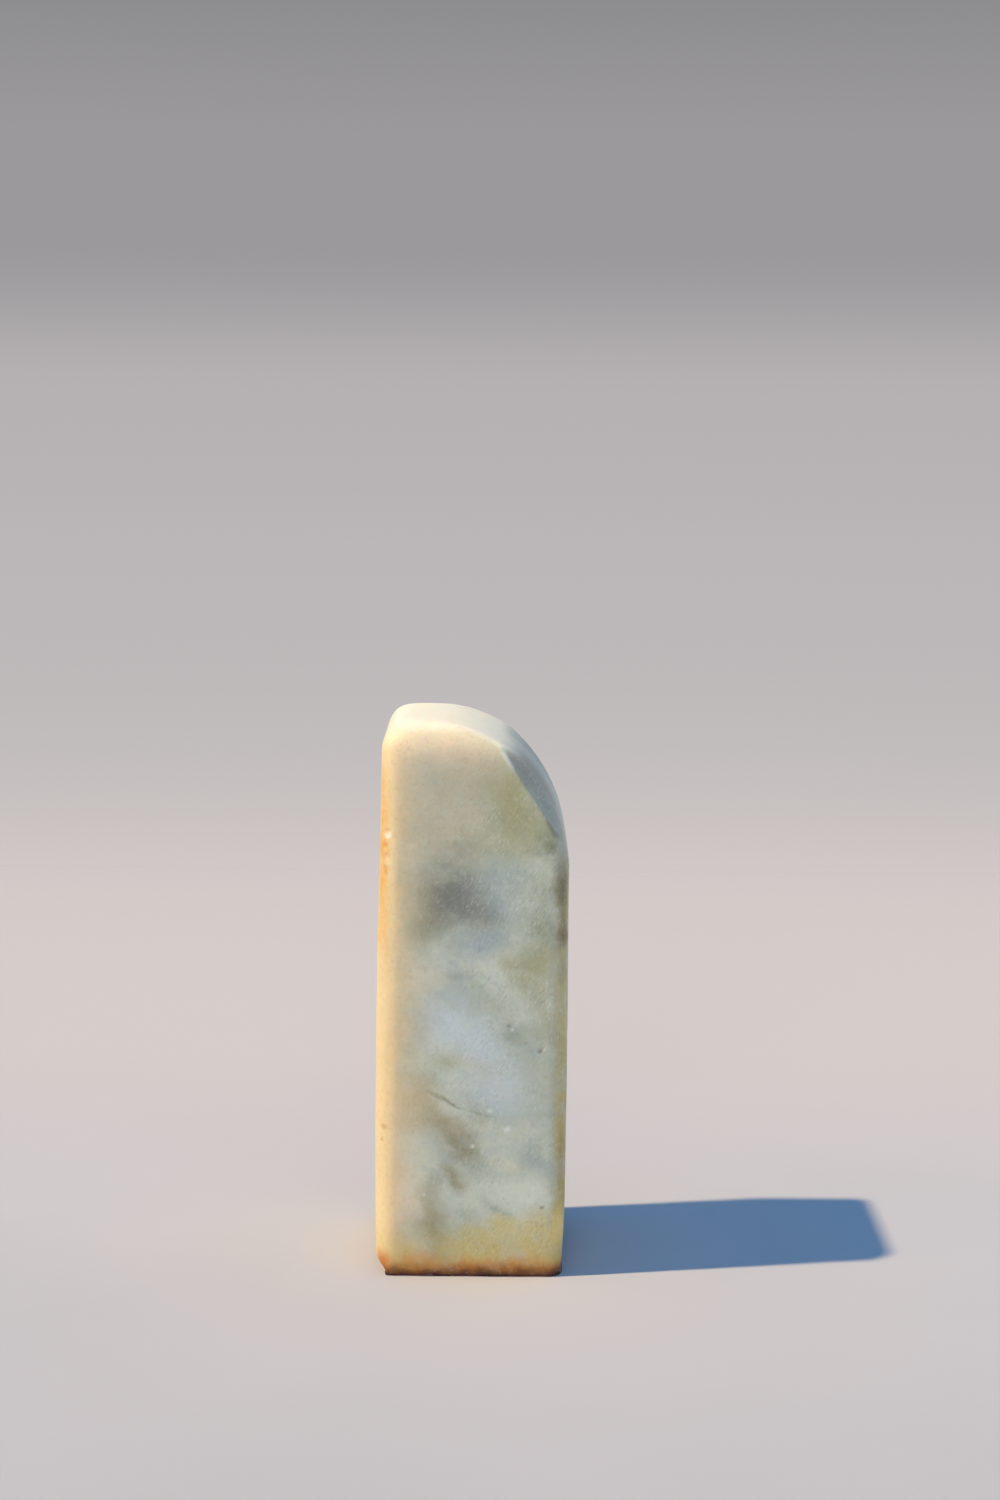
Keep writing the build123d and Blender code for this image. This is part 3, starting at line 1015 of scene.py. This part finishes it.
def stone_material():
    """Soft waxy stone: light sinks in, and the grain shows in its colour and its bumps."""
    g = Graph(bpy.data.materials.new("soapstone"))
    stone = StoneColour(g)
    stone.lay_body()
    stone.lay_clouds()
    stone.find_edges()
    stone.lay_warm_edges_and_painted_glow()
    stone.lay_skin()
    stone.lay_shoulder_light_and_shade()
    stone.lay_bevel()
    stone.lay_stains()
    stone.lay_lines_and_spots()
    stone.lay_grain()
    stone.lay_face()

    broad_bump = g.bump(g.noise(stone.place, 2.2, 3, 0.5), 0.3, 0.4)
    fine_bump = g.bump(stone.grain, 0.12, 0.5, broad_bump)
    scratches = g.maths("ADD", g.times(stone.pale_streaks_and_glints, 0.6), stone.flecks)
    g.finish(
        Normal=g.bump(scratches, 0.05, 0.7, fine_bump),
        Roughness=g.maths("ADD", g.times(g.noise(stone.loose, 2.5, 4), 0.2), 0.4),
        Base_Color=stone.colour,
        Specular_IOR_Level=0.35,
        Subsurface_Weight=0.75,
        Subsurface_Radius=(1.0, 0.55, 0.28),
        Subsurface_Scale=4.5 * MM,
    )
    return g.owner


def paste_material(name, body, deep, worn, roughness):
    """Seal paste: a greasy pigment with short fibres in it, darker in its hollows."""
    g = Graph(bpy.data.materials.new(name))
    place = g.place()
    lumps = g.noise(place, 0.7, 5, 0.65)
    fibres = g.noise(g.scaled(g.warped(place, 0.8, 0.5), (1 / 0.5, 1 / 0.08, 1 / 0.3)), 1, 3)
    colour = g.mix(g.step(lumps, 0.4, 0.6), deep, body)
    colour = g.mix(g.times(g.step(fibres, 0.58, 0.72), 0.5), colour, worn)
    g.finish(
        Normal=g.bump(fibres, 0.04, 0.5, g.bump(lumps, 0.12, 0.6)),
        Roughness=g.maths("ADD", g.times(lumps, 0.3), roughness - 0.15),
        Base_Color=colour,
    )
    return g.owner


# Light, floor and camera

# The photograph's camera: where it stands, its tilt and roll in degrees, and its focal length as a share
# of the photograph's height, both in the photograph's pixels.
CAMERA_PLACE = (2.78, -270, 92.6)
CAMERA_PITCH = 8.16
CAMERA_ROLL = 0.44
FOCAL_SHARE = 2605 / 1500
SENSOR_WIDTH = 36.0
NEAREST_SEEN, FURTHEST_SEEN = 5.0, 20000.0

# Each lamp: the way it shines, its level, its colour, and how wide it looks, in degrees.
LAMPS = {
    "key": ((0.590, 0.105, -0.801), 1.20, (1.0, 0.86, 0.60), 1.6),
    "fill": ((0.15, 0.95, -0.03), 0.44, (1.0, 0.89, 0.63), 40.0),
    "side_fill": ((-0.82, -0.57, -0.02), 0.30, (1.0, 0.86, 0.58), 40.0),
}

# Light from all round, as red, green and blue: cool from above, and a pale glow from under the floor,
# which only the seal face sees.
SKY_LIGHT = (0.11, 0.335, 0.77)
LOW_LIGHT = (0.70, 0.64, 0.58)

# The background that the camera sees: its lowest shade, and each next one with the rise of the ray at
# which it starts and is reached.
LOWEST_SHADE = (214, 205, 202)
SHADES = (
    (-0.25, -0.09, (188, 184, 185)),
    (-0.09, -0.01, (182, 178, 179)),
    (-0.01, 0.05, (155, 153, 156)),
    (0.08, 0.16, (138, 137, 139)),
)

# The floor: its size, its sides, and how far its hole lies inside the stone's outline.
FLOOR_RADIUS = 1500.0
FLOOR_SIDES = 64
FLOOR_HOLE_INSET = 1.3

# The floor's two mottled tones, and its tones toward the camera and away from it, painted darker near the
# camera and paler away from it as painted light.
CLOTH = (192, 182, 174)
CLOTH_MOTTLE = (196, 185, 177)
CLOTH_NEAR = (182, 172, 165)
CLOTH_FAR = (202, 187, 175)


def sun(name, toward, level, colour, softness):
    """A distant lamp. At level 1 a surface that faces it gives back its own colour."""
    lamp = bpy.data.lights.new(name, "SUN")
    lamp.energy = level * math.pi
    lamp.color = colour
    lamp.angle = math.radians(softness)
    made = new_object(name, lamp)
    made.rotation_euler = Vector(toward).to_track_quat("-Z", "Y").to_euler()


def camera():
    """The photograph's camera, fitted to the stone's edges, its foot and its shadow."""
    pitch, roll = math.radians(CAMERA_PITCH), math.radians(CAMERA_ROLL)
    forward = Vector((0, math.cos(pitch), -math.sin(pitch)))
    level_right = Vector((1, 0, 0))
    level_up = level_right.cross(forward)
    right = level_right * math.cos(roll) + level_up * math.sin(roll)
    up = level_up * math.cos(roll) - level_right * math.sin(roll)
    lens = bpy.data.cameras.new("camera")
    lens.sensor_width = SENSOR_WIDTH
    lens.lens = FOCAL_SHARE * lens.sensor_width
    lens.clip_start = NEAREST_SEEN * MM
    lens.clip_end = FURTHEST_SEEN * MM
    made = new_object("camera", lens)
    turned = Matrix((right, up, -forward)).transposed().to_4x4()
    made.matrix_world = Matrix.Translation(Vector(CAMERA_PLACE) * MM) @ turned
    bpy.context.scene.camera = made


def floor_mesh():
    """A flat disc with a square hole, whose corners lie under the stone."""
    ring = bmesh.new()
    half = (HALF_WIDTH - FLOOR_HOLE_INSET) * MM
    inner = [ring.verts.new((x * half, y * half, 0)) for x, y in ((-1, -1), (1, -1), (1, 1), (-1, 1))]
    outer = []
    for side in range(FLOOR_SIDES):
        turn = 2 * math.pi * (side / FLOOR_SIDES) - 3 * math.pi / 4
        x, y = FLOOR_RADIUS * MM * math.cos(turn), FLOOR_RADIUS * MM * math.sin(turn)
        outer.append(ring.verts.new((x, y, 0)))
    quarter = FLOOR_SIDES // 4
    for side in range(FLOOR_SIDES):
        corner = inner[((side + quarter // 2) // quarter) % 4]
        ring.faces.new((corner, outer[side], outer[(side + 1) % FLOOR_SIDES]))
    for side in range(4):
        middle = outer[(side * quarter + quarter // 2) % FLOOR_SIDES]
        ring.faces.new((inner[side], middle, inner[(side + 1) % 4]))
    bmesh.ops.recalc_face_normals(ring, faces=ring.faces)
    mesh = bpy.data.meshes.new("floor")
    ring.to_mesh(mesh)
    ring.free()
    return mesh


def floor_material():
    """Pale cloth that fades into the background, and can't be seen from below. Its tone is painted darker
    toward the camera and paler away from it, as painted light.
    """
    g = Graph(bpy.data.materials.new("floor"))
    place = g.place()
    distance = g.length(place)
    depth = g.parts(place)[1]
    cloth = g.mix(g.step(g.noise(place, 60, 3), 0.35, 0.65), CLOTH, CLOTH_MOTTLE)
    # Painted light: darker toward the camera, paler away from it.
    cloth = g.mix(g.step(depth, 20, -150), cloth, CLOTH_NEAR)
    cloth = g.mix(g.step(depth, 5, 85), cloth, CLOTH_FAR)
    paper = g.node("ShaderNodeBsdfDiffuse", {"Color": cloth})
    clear = g.node("ShaderNodeBsdfTransparent", {})
    geometry = g.node("ShaderNodeNewGeometry", {})
    far = g.maths("MAXIMUM", g.step(distance, 250, 900), g.step(depth, 100, 300))
    fade = g.maths("MAXIMUM", far, geometry.outputs["Backfacing"])
    seen = g.node("ShaderNodeMixShader", {0: fade, 1: paper.outputs[0], 2: clear.outputs[0]})
    g.node("ShaderNodeOutputMaterial", {"Surface": seen.outputs[0]})
    return g.owner


def floor():
    """A pale floor that is open under the stone, so that the face gets light."""
    made = new_object("floor", floor_mesh())
    made.data.materials.append(floor_material())


def world():
    """Soft cool light from all round, and for the camera a pale background that darkens upwards."""
    sky = bpy.data.worlds.new("studio")
    bpy.context.scene.world = sky
    g = Graph(sky)
    direction = g.node("ShaderNodeTexCoord", {}).outputs["Generated"]
    rise = g.parts(direction)[2]
    shade = LOWEST_SHADE
    for start, end, next_shade in SHADES:
        shade = g.mix(g.step(rise, start, end), shade, next_shade)
    background = g.node("ShaderNodeBackground", {"Color": shade, "Strength": 1.0})
    around = g.node("ShaderNodeMix", {0: g.step(rise, 0.0, -0.1)}, data_type="RGBA")
    for index, level in zip(MIX_COLOURS, (SKY_LIGHT, LOW_LIGHT)):
        around.inputs[index].default_value = (*level, 1.0)
    light = g.node("ShaderNodeBackground", {"Color": around.outputs[MIX_RESULT], "Strength": 1.0})
    path = g.node("ShaderNodeLightPath", {}).outputs
    mirrored = g.maths("MAXIMUM", path["Is Glossy Ray"], path["Is Transmission Ray"])
    watched = g.maths("MAXIMUM", path["Is Camera Ray"], mirrored)
    both = g.node("ShaderNodeMixShader", {0: watched, 1: light.outputs[0], 2: background.outputs[0]})
    g.node("ShaderNodeOutputWorld", {"Surface": both.outputs[0]})


# Making it all

def make_stone():
    """The stone in place of the CAD's plain one."""
    stone = remeshed(welded_copy("seal_stone", "stone"), STONE_CELL)
    shape_stone(stone)
    stone.data.materials.append(stone_material())
    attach(stone, "root")
    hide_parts("seal_stone")
    return stone


camera()
world()
for lamp_name, lamp_values in LAMPS.items():
    sun(lamp_name, *lamp_values)
floor()
made_stone = make_stone()
make_foot_paste(made_stone)
make_ground_paste()
bpy.context.scene.view_settings.view_transform = "Standard"
